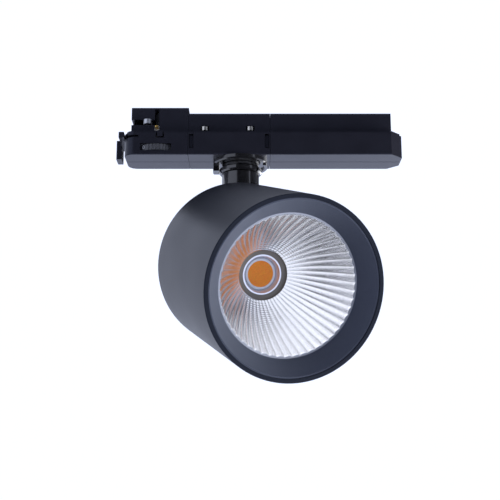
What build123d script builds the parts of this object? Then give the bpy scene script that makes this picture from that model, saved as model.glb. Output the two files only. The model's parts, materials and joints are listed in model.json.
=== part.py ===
from build123d import *
import math
import os

# Track spotlight with an in-track adapter, a swivel and a tilting round head.
# Millimetres. Origin on the swivel axis, in the plane where the adapter seats
# against the underside of the track. +X runs along the track, -Y is the side
# that the head points to, +Z is up.

# ---------------------------------------------------------------- clearances
SNUG = 0.05           # radial gap of a seated or pressed piece
RUN = 0.08            # radial gap of a shaft that turns in its hole
FREE = 0.3            # gap between faces that move past each other

# ------------------------------------------------------------- pose at rest
YAW = 19.5            # head turned from -Y towards +X
TILT = 19.5           # head pointing below the horizontal
TILT_DOWN = 90.0      # head pointing straight down
PAN_TRAVEL = 340.0    # stop to stop

# ------------------------------------------------------------------ adapter
BOX_WIDTH = 26.0
BOX_HEIGHT = 14.0
BOX_WALL = 1.5
BOX_FLOOR = 2.4
LEFT_END = -64.0
SEAM_LEFT = -28.8
SEAM_RIGHT = 16.5
RIGHT_END = 89.5
LEFT_CORNER = 5.5     # radius of the left end's corners
RIGHT_CORNER = 6.5    # chamfer of the right end's corners
SEAM_GAP = 0.15
LID_PLATE = 1.2
LID_STEP = 0.9        # the lid stands in from the casing all round
TOWER_WIDTH = 16.0
TOWER_WALL = 1.2
TOWER_HEIGHT = 15.4   # contact tower, above the seat plane
LOW_TOWER_HEIGHT = 12.0
GROOVE_WIDTH = 0.4    # parting line along the underside
GROOVE_DEPTH = 0.3
CLIP_WIDTH = 2.4
CLIP_TOP = -2.1
CLIP_BOTTOM = -10.3
CLIP_INSET = 0.5      # window's distance from the end of the middle casing
SCREW_HEAD_R = 1.7
SCREW_R = 0.9
BOSS_HEIGHT = 5.2
LID_SCREW_X = (-34.0, 10.2, 28.0, 76.0)

# ----------------------------------------------------------- driver inside
BOARD_POST_X = (24.0, 50.0, 80.0)
BOARD_POST_Y = 7.5
BOARD_POST_HEIGHT = 2.0
BOARD_SHEET = 1.6
TRAFO_X = 52.0        # middle of the transformer
TRAFO_LENGTH = 16.0
TRAFO_HALF_WIDTH = 5.6
TRAFO_HEIGHT = 15.5
TRAFO_YOKE = 3.5
TRAFO_LEG = 2.5
CANS = ((33.5, 4.0, 15.0), (66.5, 4.6, 14.0), (75.0, 3.2, 11.0))  # x, radius, height

# ------------------------------------------------------------- phase dial
DIAL_X = -46.5
DIAL_PROUD = 0.45     # rim outside the casing's face, for a fingertip
DIAL_THICK = 3.4
DIAL_Z = -9.5         # middle of the wheel
DIAL_WINDOW = 17.0
DIAL_TEETH = 44
KNURL_START = 255.0   # four knurled stretches of 60 degrees, from here
DIAL_SHAFT_R = 1.8
DIAL_RANGE = 270.0
SLIDER_REST_Z = 2.0
SLIDER_THICK = 3.0
SLIDER_LIFT = 9.0     # over the whole range of the dial
CATCH_X = -44.3
CATCH_WIDTH = 3.0
CATCH_GAP = 0.8
CATCH_DROP = 3.4

# -------------------------------------------------------------- track lock
LOCK_TOP = -0.6
LOCK_BAR_THICK = 3.0
LOCK_PLATE_THICK = 1.0
LOCK_PLATE_TOP = -2.8
LOCK_SLOT_GAP = 0.3
LOCK_TRAVEL = 3.7
LOCK_BAR_X = -67.2
LOCK_TAB_X = -70.1
LOCK_TAB_THICK = 3.0
LOCK_TAB_START = 2.6   # the tab covers the rear half of the bar
LOCK_BAR_INSET = 0.8
LOCK_TAB_BOTTOM = -11.5
CAM_X = -51.6
CAM_MODULE = 0.6
CAM_TEETH = 8
CAM_REACH = 10.4
CAM_WIDTH = 5.0
CAM_THICK = 2.6
CAM_Z = 5.2
CAM_SHAFT_R = 2.0

# ------------------------------------------------------------------ swivel
RING_R = 15.0
RING_HEIGHT = 2.4
LUG_DROP = 6.3        # below the adapter's underside
LUG_THICK = 3.0
LUG_WIDTH = 7.0
SHAFT_R = 8.0
SHAFT_BORE = 5.0
SHAFT_TOP = -5.0
SLIP_THICK = 1.4
SLIP_STEP = 2.2
COLLAR_R = 11.9
COLLAR_HEIGHT = 3.3
COLLAR_SLOTS = 6
NECK_R = 10.3
STOP_WASHER_THICK = 1.0
STOP_STEP = 2.5       # stop post's circle outside the shaft
STOP_TAB = 1.0
STOP_TAB_ANGLE = -90.0  # opposite the post when the head points along -Y
STOP_POST_R = 0.7
STOP_POST_HEIGHT = 1.6
WAVE_THICK = 1.0
NUT_THICK = 2.4
NUT_STEP = 2.6

# -------------------------------------------------------------------- tilt
NECK_LENGTH = 8.5     # below the collar
EDGE_GAP = 0.45       # neck behind the housing's rear edge, at rest
NECK_OVERLAP = 0.84   # the neck ends this far below that edge
ARM_THICK = 12.0
ARM_WIDTH = 18.0
ARM_BORE = 3.0
ARM_SLOT = 6.0        # open clevis at the arm's foot, between its two walls
PIN_R = 2.0
EYE_R = 4.2           # end of the bracket's cheeks
CHEEK_THICK = 3.0
WASHER_THICK = 0.4
CABLE_R = 2.0
CABLE_BEND = 4.0
CABLE_RUN_Z = 3.4     # lead's height inside the towers

# -------------------------------------------------------------------- head
HEAD_R = 45.0
HEAD_LENGTH = 90.5
HEAD_WALL = 2.2
PIVOT_DROP = 5.0      # pivot below the head's own axis
COVER_THICK = 1.6
COVER_INSET = 0.3
TRIM_DEPTH = 10.0
TRIM_WALL = 1.2
TRIM_SET_IN = 0.6
TRIM_EDGE = 0.7       # flat at the cone's front
TRIM_OVERHANG = 0.2   # the cone's foot stands this far outside the bowl
BOWL_R = 35.0
BOWL_END_R = 13.9
BOWL_END_DEPTH = 48.0
BOWL_WALL = 1.0
BRIM_INSET = 2.6
HOLDER_R = 22.0
HOLDER_THICK = 6.0
CONE_R = 9.6          # bright ring round the light source
CONE_END_R = 8.3
BOARD_SIDE = 24.0
BOARD_THICK = 1.2
PHOSPHOR_R = 6.9
PHOSPHOR_THICK = 0.5
PAD_THICK = 0.4
SINK_BASE = 4.0
FIN_PITCH = 4.6
FIN_THICK = 1.4
FIN_GAP = 2.6         # fins end this far before the cover
ARM_FOOT_GAP = 1.7    # arm's round foot to the bracket's base
BRACKET_BASE = 3.0
BRACKET_HALF_X = 13.0
BRACKET_HALF_Y = 12.0
BOSS_INSET = 3.2
POST_INSET = 7.8
VENT_WIDTH = 3.0

# ------------------------------------------------------------ worked out
HALF = BOX_WIDTH / 2
INNER = HALF - BOX_WALL
CASE_TOP = -LID_PLATE
CASE_BOTTOM = -BOX_HEIGHT
FLOOR_TOP = CASE_BOTTOM + BOX_FLOOR
RING_BOTTOM = CASE_BOTTOM - RING_HEIGHT
COLLAR_TOP = RING_BOTTOM - SLIP_THICK - 2 * FREE
COLLAR_BOTTOM = COLLAR_TOP - COLLAR_HEIGHT
NECK_BOTTOM = COLLAR_BOTTOM - NECK_LENGTH
DIAL_R = HALF + DIAL_PROUD
STOP_RADIUS = SHAFT_R + STOP_STEP
NUT_R = SHAFT_R + NUT_STEP
SLIP_R = SHAFT_R + SLIP_STEP
REAR_EDGE = HEAD_R + PIVOT_DROP
SIN_TILT = math.sin(math.radians(TILT))
COS_TILT = math.cos(math.radians(TILT))
PIVOT_FROM_REAR = (REAR_EDGE * SIN_TILT - NECK_R - EDGE_GAP) / COS_TILT
PIVOT_DEPTH = HEAD_LENGTH - PIVOT_FROM_REAR
EDGE_HEIGHT = REAR_EDGE * COS_TILT + PIVOT_FROM_REAR * SIN_TILT
PIVOT_Z = NECK_BOTTOM + NECK_OVERLAP - EDGE_HEIGHT
CHEEK_IN = ARM_THICK / 2 + WASHER_THICK + 2 * RUN
CHEEK_OUT = CHEEK_IN + CHEEK_THICK
SLOT_HALF = ARM_THICK / 2 + 2 * FREE
HOUSING_IN = HEAD_R - HEAD_WALL
COVER_DEPTH = HEAD_LENGTH - COVER_INSET - COVER_THICK
HOLDER_DEPTH = BOWL_END_DEPTH
SINK_DEPTH = HOLDER_DEPTH + HOLDER_THICK
SINK_BACK = SINK_DEPTH + SINK_BASE
BRACKET_DEPTH = PIVOT_DEPTH - ARM_WIDTH / 2 - ARM_FOOT_GAP - BRACKET_BASE
FIN_END_DEPTH = COVER_DEPTH - FIN_GAP
FIN_R = HOUSING_IN - 1.8
FIN_COUNT = 2 * int(FIN_R / FIN_PITCH)
BOSS_RADIUS = HOUSING_IN - BOSS_INSET
POST_RADIUS = HOUSING_IN - POST_INSET
BOWL_FLANGE_R = HOUSING_IN - BRIM_INSET
PAD_DEPTH = SINK_DEPTH - PAD_THICK
BOARD_DEPTH = PAD_DEPTH - BOARD_THICK
PHOSPHOR_DEPTH = BOARD_DEPTH - PHOSPHOR_THICK
PINION_R = CAM_MODULE * CAM_TEETH / 2


# ---------------------------------------------------------------- helpers
def block(x0, x1, y0, y1, z0, z1):
    """Box between two corners."""
    size = Box(x1 - x0, y1 - y0, z1 - z0)
    return Pos((x0 + x1) / 2, (y0 + y1) / 2, (z0 + z1) / 2) * size


def rod(radius, z0, z1, x=0.0, y=0.0):
    """Upright cylinder."""
    return Pos(x, y, (z0 + z1) / 2) * Cylinder(radius, z1 - z0)


def tube(outer, inner, z0, z1, x=0.0, y=0.0):
    """Upright ring."""
    return rod(outer, z0, z1, x, y) - rod(inner, z0 - 1, z1 + 1, x, y)


def turned(points):
    """Solid turned about Z from a closed outline of (radius, z) points."""
    outline = Polyline(*[(r, 0, z) for r, z in points], close=True)
    return revolve(make_face(outline), Axis.Z)


def upright_edges(shape, x_low, x_high):
    """Vertical edges whose middle lies between two X values."""
    edges = shape.edges().filter_by(Axis.Z)
    return [e for e in edges if x_low < e.center().X < x_high]


def save(name, shape):
    """One STEP file for one sub-part."""
    pieces = shape.solids()
    whole = pieces[0] if len(pieces) == 1 else Compound(children=list(pieces))
    export_step(whole, os.path.join("parts", name + ".step"))
    print(name, len(pieces), "solids", round(sum(p.volume for p in pieces)), "mm3")


def swung(shape):
    """Turns a piece of the swivel to the head's yaw."""
    return Rot(0, 0, YAW) * shape


def hung(shape):
    """Places a head piece. Its own frame has the pivot at the origin, X along
    the pivot, Y up and Z out of the lamp's mouth."""
    return Pos(0, 0, PIVOT_Z) * Rot(0, 0, YAW) * Rot(90 + TILT, 0, 0) * shape


def on_axis(shape):
    """Lifts a piece drawn about the head's own axis into the head's frame,
    where the axis runs above the pivot. Z is then minus the depth."""
    return Pos(0, PIVOT_DROP, PIVOT_DEPTH) * shape


def deep(outer, inner, front, back, x=0.0, y=0.0):
    """Ring about the head's axis between two depths behind the rim."""
    ring = rod(outer, -back, -front, x, y)
    if inner > 0:
        ring = ring - rod(inner, -back - 1, -front + 1, x, y)
    return ring


def around(radius, angles):
    """Points on a circle, angles in degrees from +X."""
    return [(radius * math.cos(math.radians(a)), radius * math.sin(math.radians(a)))
            for a in angles]


# -------------------------------------------------------- adapter casings
def casing(x0, x1, corner_left, corner_right):
    """Open-topped casing with rounded left and chamfered right corners."""
    outer = block(x0, x1, -HALF, HALF, CASE_BOTTOM, CASE_TOP)
    inner = block(x0 + BOX_WALL, x1 - BOX_WALL, -INNER, INNER, FLOOR_TOP, 1)
    if corner_left > 0:
        outer = fillet(upright_edges(outer, x0 - 1, x0 + 1), corner_left)
        inner = fillet(upright_edges(inner, x0, x0 + 2 * BOX_WALL), corner_left - BOX_WALL)
    if corner_right > 0:
        outer = chamfer(upright_edges(outer, x1 - 1, x1 + 1), corner_right)
        inner = chamfer(upright_edges(inner, x1 - 2 * BOX_WALL, x1), corner_right - BOX_WALL / 2)
    under = outer.faces().sort_by(Axis.Z)[0].edges().filter_by(Axis.X)
    outer = fillet(under, 0.5)
    groove = block(x0 - 1, x1 + 1, -GROOVE_WIDTH / 2, GROOVE_WIDTH / 2,
                   CASE_BOTTOM - 1, CASE_BOTTOM + GROOVE_DEPTH)
    return outer - inner - groove


def lid(x0, x1, height, corner_left, corner_right):
    """Lid plate with the hollow tower that goes up into the track."""
    x0, x1 = x0 + (LID_STEP if corner_left else 0), x1 - (LID_STEP if corner_right else 0)
    edge = HALF - LID_STEP
    plate = block(x0, x1, -edge, edge, CASE_TOP, 0)
    if corner_left > 0:
        plate = fillet(upright_edges(plate, x0 - 1, x0 + 1), corner_left - LID_STEP)
    if corner_right > 0:
        plate = chamfer(upright_edges(plate, x1 - 1, x1 + 1), corner_right - LID_STEP)
    half = TOWER_WIDTH / 2
    t0 = x0 + (2 * TOWER_WALL if corner_left else 0)
    t1 = x1 - (4 * TOWER_WALL if corner_right else 0)
    tower = block(t0, t1, -half, half, 0, height)
    tower = fillet(tower.faces().sort_by(Axis.Z)[-1].edges().filter_by(Axis.X), 1.0)
    hollow = block(t0 + TOWER_WALL, t1 - TOWER_WALL, -half + TOWER_WALL, half - TOWER_WALL,
                   CASE_TOP - 1, height - TOWER_WALL)
    return plate + tower - hollow


def lid_screw_points():
    """Screws through the lids, beside the towers, as (x, y)."""
    offset = (TOWER_WIDTH / 2 + HALF - LID_STEP) / 2
    return [(x, side * offset) for x in LID_SCREW_X for side in (-1, 1)]


def with_bosses(shell, x0, x1):
    """Adds the screw bosses on the casing's side walls inside x0..x1."""
    for x, y in lid_screw_points():
        if x0 < x < x1:
            side = 1 if y > 0 else -1
            ends = sorted((y - side * 1.6, side * (INNER + 0.5)))
            foot = block(x - 2, x + 2, ends[0], ends[1], CASE_TOP - BOSS_HEIGHT, CASE_TOP)
            shell = shell + foot - rod(SCREW_R, CASE_TOP - 5, CASE_TOP + 1, x, y)
    return shell


def with_screw_holes(cover, x0, x1):
    """Clears the lid for its screws, with a seat for each head."""
    for x, y in lid_screw_points():
        if x0 < x < x1:
            cover = cover - rod(SCREW_R + SNUG, CASE_TOP - 1, 1, x, y)
            cover = cover - rod(SCREW_HEAD_R + SNUG, -0.6, 1, x, y)
    return cover


def head_shell():
    x1 = SEAM_LEFT - SEAM_GAP / 2
    shell = casing(LEFT_END, x1, LEFT_CORNER, 0)
    window = block(DIAL_X - DIAL_WINDOW / 2, DIAL_X + DIAL_WINDOW / 2, -HALF - 1, HALF + 1,
                   DIAL_Z - DIAL_THICK / 2 - FREE, DIAL_Z + DIAL_THICK / 2 + FREE)
    gap = LOCK_SLOT_GAP
    slot = block(LEFT_END - 1, LEFT_END + 8, -HALF - 1, HALF + 1,
                 LOCK_PLATE_TOP - LOCK_PLATE_THICK - gap, LOCK_PLATE_TOP + gap)
    notch_half = CATCH_WIDTH / 2 + CATCH_GAP
    notch = block(CATCH_X - notch_half, CATCH_X + notch_half, -HALF - 1, -INNER + 0.1,
                  CASE_TOP - CATCH_DROP + LID_PLATE - CATCH_GAP, 1)
    hub = rod(3.4, FLOOR_TOP - 0.5, FLOOR_TOP + 0.1, DIAL_X)
    pivot_hole = rod(DIAL_SHAFT_R + RUN, FLOOR_TOP - 1.2, FLOOR_TOP + 1, DIAL_X)
    shell = shell + hub - window - slot - notch - pivot_hole
    shell = with_bosses(shell, LEFT_END, x1)
    return shell + clip_tongues(x1, 1)


def clip_tongues(seam, direction):
    """Snap tongues that reach into the middle casing's windows."""
    reach = CLIP_INSET + CLIP_WIDTH + 1.0
    tongues = []
    for side in (-1, 1):
        ends = sorted((seam - direction * (BOX_WALL + 0.5), seam + direction * reach))
        faces = sorted((side * (INNER - 0.3), side * (INNER - 1.4)))
        tongue = block(ends[0], ends[1], faces[0], faces[1], CLIP_BOTTOM + 0.6, CLIP_TOP - 0.6)
        middle = seam + direction * (SEAM_GAP + CLIP_INSET + CLIP_WIDTH / 2)
        barb_y = sorted((side * (INNER - 0.4), side * (HALF - 0.9)))
        barb = block(middle - CLIP_WIDTH / 2 + 0.3, middle + CLIP_WIDTH / 2 - 0.3,
                     barb_y[0], barb_y[1], CLIP_BOTTOM + 0.6, CLIP_TOP - 0.6)
        tongues.append(tongue + barb)
    return tongues[0] + tongues[1]


def contact_tower():
    x1 = SEAM_LEFT - SEAM_GAP / 2
    cover = lid(LEFT_END, x1, TOWER_HEIGHT, LEFT_CORNER, 0)
    cam_top = CAM_Z + CAM_THICK + FREE
    cam_window = block(CAM_X - CAM_REACH - 1, CAM_X + CAM_WIDTH / 2 + 2, -HALF,
                       CAM_WIDTH / 2 + FREE, CAM_Z - FREE, cam_top)
    blade_slot = block(DIAL_X - 1.2, DIAL_X + 1.2, -HALF, 0, SLIDER_REST_Z - 1,
                       SLIDER_REST_Z + SLIDER_LIFT + SLIDER_THICK + 0.3)
    cover = cover - cam_window - blade_slot
    for x in neutral_places():
        cover = cover - block(x - 2.3, x + 2.3, 0, HALF, 7.7, 10.3)
    roof = TOWER_HEIGHT - TOWER_WALL
    bearing = rod(3.0, CASE_TOP, 0, CAM_X) + block(
        CAM_X - 1.5, CAM_X + 1.5, -TOWER_WIDTH / 2 + 0.5, TOWER_WIDTH / 2 - 0.5, CASE_TOP, 0)
    cap = rod(CAM_SHAFT_R + 0.3, cam_top + 0.2, roof + 0.2, CAM_X)
    pin_hole = rod(CAM_SHAFT_R + RUN, CASE_TOP - 1, TOWER_HEIGHT - TOWER_WALL - 1, CAM_X)
    dial_hole = rod(DIAL_SHAFT_R + RUN, roof - 1, TOWER_HEIGHT + 1, DIAL_X)
    tongue = block(CATCH_X - CATCH_WIDTH / 2, CATCH_X + CATCH_WIDTH / 2, -HALF + 0.1,
                   -INNER - 0.1, -CATCH_DROP, 0)
    root = block(CATCH_X - CATCH_WIDTH / 2, CATCH_X + CATCH_WIDTH / 2, -HALF + 0.1,
                 -HALF + LID_STEP + 0.5, CASE_TOP, 0)
    cover = cover + bearing + cap + tongue + root - pin_hole - dial_hole
    return with_screw_holes(cover, LEFT_END, x1)


def neutral_places():
    return (DIAL_X - 10.6, DIAL_X + 12.0)


def neutral_contacts():
    """Bowed brass springs that reach out of the tower's rear windows."""
    wall = TOWER_WIDTH / 2 - TOWER_WALL
    springs = []
    for x in neutral_places():
        strip = block(x - 2, x + 2, wall - 0.9, wall - 0.4, 7.9, 10.1)
        nose = Pos(x, wall - 0.6, 9) * Cylinder(2.1, 2.0)
        nose = nose - block(x - 4, x + 4, wall - 4, wall - 0.5, 5, 12)
        tail = block(x - 0.9, x + 0.9, wall - 0.9, wall - 0.4, 3.0, 8.0)
        springs.append(strip + nose + tail)
    return springs[0] + springs[1]


def carrier_shell():
    x0, x1 = SEAM_LEFT + SEAM_GAP / 2, SEAM_RIGHT - SEAM_GAP / 2
    shell = casing(x0, x1, 0, 0)
    for near in (x0 + CLIP_INSET, x1 - CLIP_INSET - CLIP_WIDTH):
        shell = shell - block(near, near + CLIP_WIDTH, -HALF - 1, HALF + 1,
                              CLIP_BOTTOM, CLIP_TOP)
    for side in (-1, 1):
        y0, y1 = sorted((side * (INNER + 0.01), side * (INNER - 1.7)))
        shell = shell - block(x0 - 1, x0 + BOX_WALL + 1, y0, y1, CLIP_BOTTOM, CLIP_TOP)
        shell = shell - block(x1 - BOX_WALL - 1, x1 + 1, y0, y1, CLIP_BOTTOM, CLIP_TOP)
    shell = shell - rod(SHAFT_R + RUN, CASE_BOTTOM - 1, FLOOR_TOP + 1)
    return with_bosses(shell, x0, x1)


def carrier_tower():
    x0, x1 = SEAM_LEFT + SEAM_GAP / 2, SEAM_RIGHT - SEAM_GAP / 2
    cover = lid(x0, x1, LOW_TOWER_HEIGHT, 0, 0)
    for x in earth_places():
        cover = cover - block(x - 2.3, x + 2.3, -HALF, HALF, 1.6, 4.4)
    cover = cover - cable_way(x1 - 3, x1 + 1)
    return with_screw_holes(cover, x0, x1)


def earth_places():
    return (SEAM_LEFT + 9.0, SEAM_RIGHT - 11.0)


def earth_contacts():
    """Sprung earth strips on both flanks of the middle tower."""
    wall = TOWER_WIDTH / 2 - TOWER_WALL
    strips = None
    for x in earth_places():
        for side in (-1, 1):
            y0, y1 = sorted((side * (wall - 0.9), side * (wall - 0.4)))
            strip = block(x - 2, x + 2, y0, y1, 1.8, 9.0)
            nose = Pos(x, side * (wall - 0.6), 3.0) * Cylinder(2.2, 2.2)
            keep = sorted((side * (wall - 0.5), side * (wall + 4)))
            nose = nose & block(x - 4, x + 4, keep[0], keep[1], 0, 6)
            strips = strip + nose if strips is None else strips + strip + nose
    return strips


def cable_way(x0, x1):
    """Passage for the lead between the two right-hand towers."""
    half = CABLE_R + 0.6
    return block(x0, x1, -half, half, CABLE_RUN_Z - half, CABLE_RUN_Z + half)


def driver_shell():
    x0 = SEAM_RIGHT + SEAM_GAP / 2
    shell = casing(x0, RIGHT_END, 0, RIGHT_CORNER)
    for x in BOARD_POST_X:
        for y in (-BOARD_POST_Y, BOARD_POST_Y):
            shell = shell + rod(1.6, FLOOR_TOP - 0.5, board_bottom(), x, y)
    shell = with_bosses(shell, x0, RIGHT_END)
    return shell + clip_tongues(x0, -1)


def driver_tower():
    x0 = SEAM_RIGHT + SEAM_GAP / 2
    cover = lid(x0, RIGHT_END, LOW_TOWER_HEIGHT, 0, RIGHT_CORNER)
    cover = cover - cable_way(x0 - 1, x0 + 3)
    return with_screw_holes(cover, x0, RIGHT_END)


def lid_screws():
    screws = None
    for x, y in lid_screw_points():
        screw = rod(SCREW_HEAD_R, -0.6 + 0.01, -0.05, x, y) + rod(SCREW_R, -5.0, -0.5, x, y)
        screw = screw - block(x - 1.2, x + 1.2, y - 0.2, y + 0.2, -0.35, 0.5)
        screws = screw if screws is None else screws + screw
    return screws


# ------------------------------------------------------------ driver inside
def board_bottom():
    return FLOOR_TOP + BOARD_POST_HEIGHT


def board_top():
    return board_bottom() + BOARD_SHEET


def driver_board():
    x0, x1 = SEAM_RIGHT + 4.0, RIGHT_END - RIGHT_CORNER - 1.5
    side = INNER - 2.7
    board = block(x0, x1, -side, side, board_bottom(), board_top())
    for x, y in lid_screw_points():
        side = 1 if y > 0 else -1
        if x0 < x < x1:
            gap = sorted((y - side * 2.0, side * HALF))
            board = board - block(x - 2.4, x + 2.4, gap[0], gap[1], board_bottom() - 1,
                                  board_top() + 1)
    return board


def terminal_block():
    x0 = SEAM_RIGHT + 4.5
    body = block(x0, x0 + 8, -5, 5, board_top(), CABLE_RUN_Z + 3.4)
    for y in (-2.4, 2.4):
        body = body - rod(1.3, CABLE_RUN_Z, CABLE_RUN_Z + 5, x0 + 5, y)
        body = body - block(x0 + 4.0, x0 + 9, y - 0.9, y + 0.9, board_top() + 1, board_top() + 4)
    return body


def transformer():
    """E-core with its wound coil, seen as two yokes, two legs and the coil."""
    low = board_top()
    top = low + TRAFO_HEIGHT
    x0, x1 = TRAFO_X - TRAFO_LENGTH / 2, TRAFO_X + TRAFO_LENGTH / 2
    half = TRAFO_HALF_WIDTH
    inner_low, inner_top = low + TRAFO_YOKE, top - TRAFO_YOKE + 0.5
    core = block(x0, x1, -half, half, low, inner_low)
    core = core + block(x0, x1, -half, half, inner_top - 0.5, top)
    core = core + block(x0, x0 + TRAFO_LEG, -half, half, inner_low - 0.5, inner_top)
    core = core + block(x1 - TRAFO_LEG, x1, -half, half, inner_low - 0.5, inner_top)
    core = core + block(x0 + 5, x1 - 5, -3, 3, inner_low - 0.5, inner_top)
    coil = block(x0 + TRAFO_LEG + 0.4, x1 - TRAFO_LEG - 0.4, -half - 0.6, half + 0.6,
                 inner_low + 0.4, inner_top - 0.9)
    return core + fillet(coil.edges().filter_by(Axis.Z), 2.5)


def capacitors():
    low = board_top()
    cans = None
    for x, radius, height in CANS:
        can = rod(radius, low, low + height, x)
        can = fillet(can.edges().sort_by(Axis.Z)[-1], 0.5)
        bead = tube(radius + 1, radius - 0.25, low + 1.6, low + 2.3, x)
        can = can - bead
        cans = can if cans is None else cans + can
    return cans


# -------------------------------------------------------------- phase dial
def phase_dial():
    """Knurled wheel whose rim shows in the front and rear windows."""
    z0, z1 = DIAL_Z - DIAL_THICK / 2, DIAL_Z + DIAL_THICK / 2
    wheel = rod(DIAL_R, z0, z1, DIAL_X)
    depth = 0.55
    for i in range(DIAL_TEETH):
        angle = 360 / DIAL_TEETH * i
        if angle % 90 < 60:
            x, y = around(DIAL_R + 0.15, [angle + KNURL_START])[0]
            wheel = wheel - rod(depth, z0 - 1, z1 + 1, DIAL_X + x, y)
    wheel = wheel - tube(DIAL_R - 1.8, 4.5, z0 - 1, z0 + 1.0, DIAL_X)
    shaft_end = TOWER_HEIGHT - 0.2
    shaft = rod(DIAL_SHAFT_R, FLOOR_TOP - 0.9, shaft_end, DIAL_X)
    key = block(DIAL_X - 0.5, DIAL_X + 0.5, -1, 1, shaft_end - 0.6, shaft_end + 1)
    return wheel + rod(3.2, z1 - 0.5, z1 + 1.2, DIAL_X) + shaft - key


def phase_slider():
    z0 = SLIDER_REST_Z
    inner = TOWER_WIDTH / 2 - TOWER_WALL - FREE
    carriage = block(DIAL_X - 2.4, DIAL_X + 4.4, -inner, inner, z0, z0 + SLIDER_THICK)
    hole = rod(DIAL_SHAFT_R + RUN, z0 - 1, z0 + SLIDER_THICK + 1, DIAL_X)
    groove = block(DIAL_X - 0.9 - SNUG, DIAL_X + 0.9 + SNUG, -inner - 1, -inner + 3.0 + SNUG,
                   z0 + 1.0, z0 + 2.0)
    return carriage - hole - groove


def phase_blade():
    z0 = SLIDER_REST_Z + 1.0 + SNUG
    inner = TOWER_WIDTH / 2 - TOWER_WALL - FREE
    blade = block(DIAL_X - 0.9, DIAL_X + 0.9, -TOWER_WIDTH / 2 - 2.2, -inner + 3.0, z0,
                  z0 + 1.0 - 2 * SNUG)
    tip = blade.edges().filter_by(Axis.Z).sort_by(Axis.Y)[:2]
    return fillet(tip, 0.6)


# -------------------------------------------------------------- track lock
def lock_slide():
    """Pull lever: bar and finger tab outside, racked plate inside."""
    plate_low = LOCK_PLATE_TOP - LOCK_PLATE_THICK
    reach = INNER - FREE
    plate = block(LOCK_BAR_X + 1, CAM_X + 6.0, -reach, reach, plate_low, LOCK_PLATE_TOP)
    pitch_y = -PINION_R
    room = block(CAM_X - 6.8, CAM_X + 20, pitch_y - 0.7, 6.4, plate_low - 1, LOCK_PLATE_TOP + 1)
    plate = plate - room - block(CAM_X + 1.5, CAM_X + 20, -20, 20, plate_low - 1, 0)
    inner_end = LEFT_END + BOX_WALL
    corner = LEFT_CORNER - BOX_WALL + FREE
    for side in (-1, 1):
        y0, y1 = sorted((side * (reach - corner), side * (reach + 1)))
        trim = block(LEFT_END - 1, inner_end + corner, y0, y1, plate_low - 1, 0)
        trim = trim - rod(corner, plate_low - 2, 1, inner_end + corner, side * (reach - corner))
        plate = plate - trim
    bar_low = LOCK_TOP - LOCK_BAR_THICK
    outer_x = LEFT_END - FREE
    side = HALF - LOCK_BAR_INSET
    bar = block(LOCK_BAR_X, outer_x, -side, side, bar_low, LOCK_TOP)
    wing = block(LOCK_TAB_X, outer_x, LOCK_TAB_START, side, bar_low, LOCK_TOP)
    tab = block(LOCK_TAB_X, LOCK_TAB_X + LOCK_TAB_THICK, LOCK_TAB_START, side,
                LOCK_TAB_BOTTOM, LOCK_TOP)
    lever = bar + wing + tab
    lever = fillet(upright_edges(lever, LOCK_TAB_X - 1, LOCK_BAR_X + 0.1), 0.6)
    link = block(LOCK_BAR_X + 1, LEFT_END + 3, -6.5, 6.5, plate_low, LOCK_PLATE_TOP)
    return lever + plate + link + rack_teeth(pitch_y, plate_low)


def rack_teeth(pitch_y, low):
    """Teeth that stand up from the rack's edge towards the pinion."""
    step = math.pi * CAM_MODULE
    teeth = None
    for i in range(-5, 1):
        x = CAM_X + (i + 0.5) * step
        outline = Polyline((x - 0.50, pitch_y - 0.9), (x + 0.50, pitch_y - 0.9),
                           (x + 0.18, pitch_y + 0.4), (x - 0.18, pitch_y + 0.4), close=True)
        tooth = Pos(0, 0, low) * extrude(make_face(outline), LOCK_PLATE_THICK)
        teeth = tooth if teeth is None else teeth + tooth
    root = block(CAM_X - 6.8, CAM_X + 1.5, pitch_y - 2.2, pitch_y - 0.7, low, low + LOCK_PLATE_THICK)
    return teeth + root


def lock_cam():
    """Pinion shaft with the lobe that grips above the track's lip."""
    low, top = LOCK_PLATE_TOP - LOCK_PLATE_THICK, LOCK_PLATE_TOP
    pinion = rod(PINION_R - 0.65, low, top, CAM_X)
    for i in range(CAM_TEETH):
        outline = Polyline((PINION_R - 0.8, -0.42), (PINION_R + 0.4, -0.16),
                           (PINION_R + 0.4, 0.16), (PINION_R - 0.8, 0.42), close=True)
        tooth = extrude(make_face(outline), top - low)
        angle = 360 / CAM_TEETH * i - 90
        pinion = pinion + Pos(CAM_X, 0, low) * Rot(0, 0, angle) * tooth
    shaft = rod(CAM_SHAFT_R - 0.35, low, top + 0.1, CAM_X)
    shaft = shaft + rod(CAM_SHAFT_R, top, TOWER_HEIGHT - TOWER_WALL - 1.6, CAM_X)
    half = CAM_WIDTH / 2
    lobe = block(CAM_X - half, CAM_X + half, -CAM_REACH + half, 0, CAM_Z, CAM_Z + CAM_THICK)
    lobe = lobe + rod(half, CAM_Z, CAM_Z + CAM_THICK, CAM_X, -CAM_REACH + half)
    return pinion + shaft + lobe + rod(2.6, CAM_Z, CAM_Z + CAM_THICK, CAM_X)


def lock_detent():
    """Leaf spring in the casing that holds the lever where it is put."""
    y0 = INNER - 0.05
    z = LOCK_PLATE_TOP - LOCK_PLATE_THICK - 1.6
    leaf = block(LEFT_END + 8.0, LEFT_END + 16.0, y0 - 0.5, y0, z - 1.4, z + 1.0)
    bow = Pos(LEFT_END + 12, y0 - 0.3, z - 0.2) * Cylinder(1.6, 2.2)
    return leaf + (bow & block(LEFT_END + 9, LEFT_END + 15, y0 - 3, y0, z - 3, z + 3))


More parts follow.
